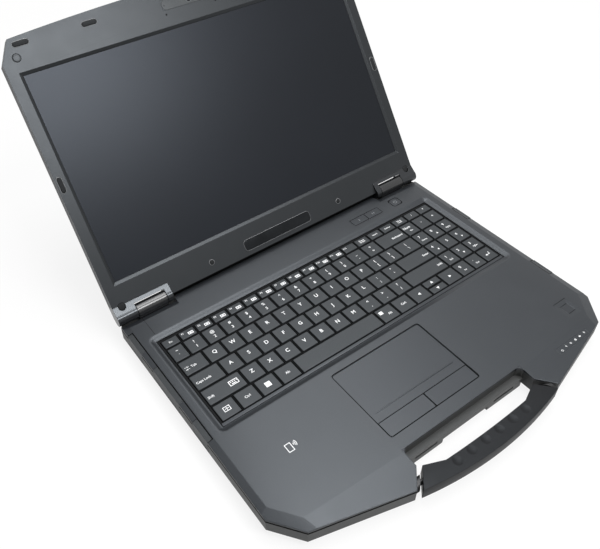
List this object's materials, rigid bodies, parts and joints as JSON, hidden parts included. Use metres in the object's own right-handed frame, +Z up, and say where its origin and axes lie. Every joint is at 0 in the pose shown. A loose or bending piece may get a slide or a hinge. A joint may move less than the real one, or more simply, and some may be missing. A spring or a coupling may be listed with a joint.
{
  "type": "laptop computer",
  "caption": "Rugged clamshell laptop standing open, with a full-width keyboard, a touchpad with its own buttons, hinged port doors and a carrying handle across the front.",
  "frame": {"origin": "middle of the feet, on the table", "axes": "+X to the right as seen by the person typing, +Y from the handle to the hinges, +Z up"},
  "size_m": [0.37, 0.4515, 0.2443],
  "materials": {
    "case_plastic": "fine moulded texture",
    "deck_plastic": "fine moulded texture",
    "lid_plastic": "fine moulded texture",
    "bezel_plastic": "fine moulded texture",
    "screen": "anti-glare film",
    "key_plastic": "smooth",
    "key_frame_plastic": "smooth",
    "touchpad_plastic": "smooth",
    "button_plastic": "smooth",
    "door_plastic": "fine moulded texture",
    "handle_grip": "soft moulded grip",
    "hinge_gloss": "gloss coat",
    "steel": "plain",
    "soft_rubber": "matt",
    "dark_window": "polished",
    "board": "coated",
    "spreader_metal": "bare",
    "battery_shell": "smooth",
    "speaker_shell": "smooth",
    "cell_steel": "plain",
    "aerial_foil": "foil",
    "port_steel": "plain"
  },
  "bodies": {
    "base": {"bottom_case": "case_plastic", "top_cover": "deck_plastic", "keyboard_frame": "key_frame_plastic", "touchpad": "touchpad_plastic", "fingerprint_reader": "dark_window", "status_lights": "dark_window", "hinge_housings": "hinge_gloss", "handle_pins": "steel", "feet": "soft_rubber", "base_screws": "steel", "mainboard": "board", "heat_spreader": "spreader_metal", "battery_pack": "battery_shell", "solid_state_drive": "board", "memory_module": "board", "wireless_card": "board", "clock_cell": "cell_steel", "speakers": "speaker_shell", "contactless_antenna": "aerial_foil", "left_ports": "port_steel", "right_ports": "port_steel"},
    "lid": {"lid_rear_cover": "lid_plastic", "lid_bezel": "bezel_plastic", "display_panel": "screen", "hinge_arms": "steel", "lid_bumpers": "soft_rubber", "lid_screw_caps": "soft_rubber", "webcam": "dark_window", "name_plate": "dark_window", "lid_aerials": "aerial_foil"},
    "carry_handle": {"carry_handle": "handle_grip"},
    "left_port_door_front": {"left_port_door_front": "door_plastic"},
    "left_port_door_middle": {"left_port_door_middle": "door_plastic"},
    "left_port_door_rear": {"left_port_door_rear": "door_plastic"},
    "right_port_door_front": {"right_port_door_front": "door_plastic"},
    "right_port_door_rear": {"right_port_door_rear": "door_plastic"},
    "power_button": {"power_button": "button_plastic"},
    "function_button_left": {"function_button_left": "button_plastic"},
    "function_button_right": {"function_button_right": "button_plastic"},
    "touchpad_button_left": {"touchpad_button_left": "touchpad_plastic"},
    "touchpad_button_right": {"touchpad_button_right": "touchpad_plastic"},
    "keys_function_row": {"keys_function_row": "key_plastic"},
    "keys_number_row": {"keys_number_row": "key_plastic"},
    "keys_upper_letters": {"keys_upper_letters": "key_plastic"},
    "keys_home_letters": {"keys_home_letters": "key_plastic"},
    "keys_lower_letters": {"keys_lower_letters": "key_plastic"},
    "keys_modifiers": {"keys_modifiers": "key_plastic"},
    "keys_number_pad": {"keys_number_pad": "key_plastic"},
    "key_backspace": {"key_backspace": "key_plastic"},
    "key_tab": {"key_tab": "key_plastic"},
    "key_caps_lock": {"key_caps_lock": "key_plastic"},
    "key_enter": {"key_enter": "key_plastic"},
    "key_shift_left": {"key_shift_left": "key_plastic"},
    "key_shift_right": {"key_shift_right": "key_plastic"},
    "key_space": {"key_space": "key_plastic"},
    "key_arrow_left": {"key_arrow_left": "key_plastic"},
    "key_arrow_up": {"key_arrow_up": "key_plastic"},
    "key_arrow_down": {"key_arrow_down": "key_plastic"},
    "key_arrow_right": {"key_arrow_right": "key_plastic"}
  },
  "joints": [
    {"name": "lid_hinge", "type": "hinge", "parent": "base", "child": "lid", "pos_m": [0, 0.1362, 0.028], "axis": [1, 0, 0], "range_deg": [-20, 125.9]},
    {"name": "handle_pivot", "type": "hinge", "parent": "base", "child": "carry_handle", "pos_m": [0, -0.1375, 0.016], "axis": [1, 0, 0], "range_deg": [-25, 0]},
    {"name": "left_port_door_front_pivot", "type": "hinge", "parent": "base", "child": "left_port_door_front", "pos_m": [-0.1828, -0.0065, 0.011], "axis": [0, -1, 0], "range_deg": [0, 90]},
    {"name": "left_port_door_middle_pivot", "type": "hinge", "parent": "base", "child": "left_port_door_middle", "pos_m": [-0.1828, 0.0485, 0.011], "axis": [0, -1, 0], "range_deg": [0, 90]},
    {"name": "left_port_door_rear_pivot", "type": "hinge", "parent": "base", "child": "left_port_door_rear", "pos_m": [-0.1828, 0.10425, 0.011], "axis": [0, -1, 0], "range_deg": [0, 90]},
    {"name": "right_port_door_front_pivot", "type": "hinge", "parent": "base", "child": "right_port_door_front", "pos_m": [0.1828, -0.045, 0.011], "axis": [0, 1, 0], "range_deg": [0, 90]},
    {"name": "right_port_door_rear_pivot", "type": "hinge", "parent": "base", "child": "right_port_door_rear", "pos_m": [0.1828, 0.0585, 0.011], "axis": [0, 1, 0], "range_deg": [0, 90]},
    {"name": "power_button_press", "type": "slide", "parent": "base", "child": "power_button", "axis": [0, 0, -1], "range_m": [0, 0.0006], "stiffness_N_per_m": 1200},
    {"name": "function_button_left_press", "type": "slide", "parent": "base", "child": "function_button_left", "axis": [0, 0, -1], "range_m": [0, 0.0006], "stiffness_N_per_m": 1200},
    {"name": "function_button_right_press", "type": "slide", "parent": "base", "child": "function_button_right", "axis": [0, 0, -1], "range_m": [0, 0.0006], "stiffness_N_per_m": 1200},
    {"name": "touchpad_button_left_press", "type": "slide", "parent": "base", "child": "touchpad_button_left", "axis": [0, 0, -1], "range_m": [0, 0.0007], "stiffness_N_per_m": 1200},
    {"name": "touchpad_button_right_press", "type": "slide", "parent": "base", "child": "touchpad_button_right", "axis": [0, 0, -1], "range_m": [0, 0.0007], "stiffness_N_per_m": 1200},
    {"name": "keys_function_row_press", "type": "slide", "parent": "base", "child": "keys_function_row", "axis": [0, 0, -1], "range_m": [0, 0.0015], "stiffness_N_per_m": 6650},
    {"name": "keys_number_row_press", "type": "slide", "parent": "base", "child": "keys_number_row", "axis": [0, 0, -1], "range_m": [0, 0.0015], "stiffness_N_per_m": 4550},
    {"name": "keys_upper_letters_press", "type": "slide", "parent": "base", "child": "keys_upper_letters", "axis": [0, 0, -1], "range_m": [0, 0.0015], "stiffness_N_per_m": 4550},
    {"name": "keys_home_letters_press", "type": "slide", "parent": "base", "child": "keys_home_letters", "axis": [0, 0, -1], "range_m": [0, 0.0015], "stiffness_N_per_m": 3850},
    {"name": "keys_lower_letters_press", "type": "slide", "parent": "base", "child": "keys_lower_letters", "axis": [0, 0, -1], "range_m": [0, 0.0015], "stiffness_N_per_m": 3500},
    {"name": "keys_modifiers_press", "type": "slide", "parent": "base", "child": "keys_modifiers", "axis": [0, 0, -1], "range_m": [0, 0.0015], "stiffness_N_per_m": 2100},
    {"name": "keys_number_pad_press", "type": "slide", "parent": "base", "child": "keys_number_pad", "axis": [0, 0, -1], "range_m": [0, 0.0015], "stiffness_N_per_m": 5250},
    {"name": "key_backspace_press", "type": "slide", "parent": "base", "child": "key_backspace", "axis": [0, 0, -1], "range_m": [0, 0.0015], "stiffness_N_per_m": 350},
    {"name": "key_tab_press", "type": "slide", "parent": "base", "child": "key_tab", "axis": [0, 0, -1], "range_m": [0, 0.0015], "stiffness_N_per_m": 350},
    {"name": "key_caps_lock_press", "type": "slide", "parent": "base", "child": "key_caps_lock", "axis": [0, 0, -1], "range_m": [0, 0.0015], "stiffness_N_per_m": 350},
    {"name": "key_enter_press", "type": "slide", "parent": "base", "child": "key_enter", "axis": [0, 0, -1], "range_m": [0, 0.0015], "stiffness_N_per_m": 350},
    {"name": "key_shift_left_press", "type": "slide", "parent": "base", "child": "key_shift_left", "axis": [0, 0, -1], "range_m": [0, 0.0015], "stiffness_N_per_m": 350},
    {"name": "key_shift_right_press", "type": "slide", "parent": "base", "child": "key_shift_right", "axis": [0, 0, -1], "range_m": [0, 0.0015], "stiffness_N_per_m": 350},
    {"name": "key_space_press", "type": "slide", "parent": "base", "child": "key_space", "axis": [0, 0, -1], "range_m": [0, 0.0015], "stiffness_N_per_m": 350},
    {"name": "key_arrow_left_press", "type": "slide", "parent": "base", "child": "key_arrow_left", "axis": [0, 0, -1], "range_m": [0, 0.0015], "stiffness_N_per_m": 350},
    {"name": "key_arrow_up_press", "type": "slide", "parent": "base", "child": "key_arrow_up", "axis": [0, 0, -1], "range_m": [0, 0.0015], "stiffness_N_per_m": 350},
    {"name": "key_arrow_down_press", "type": "slide", "parent": "base", "child": "key_arrow_down", "axis": [0, 0, -1], "range_m": [0, 0.0015], "stiffness_N_per_m": 350},
    {"name": "key_arrow_right_press", "type": "slide", "parent": "base", "child": "key_arrow_right", "axis": [0, 0, -1], "range_m": [0, 0.0015], "stiffness_N_per_m": 350}
  ]
}
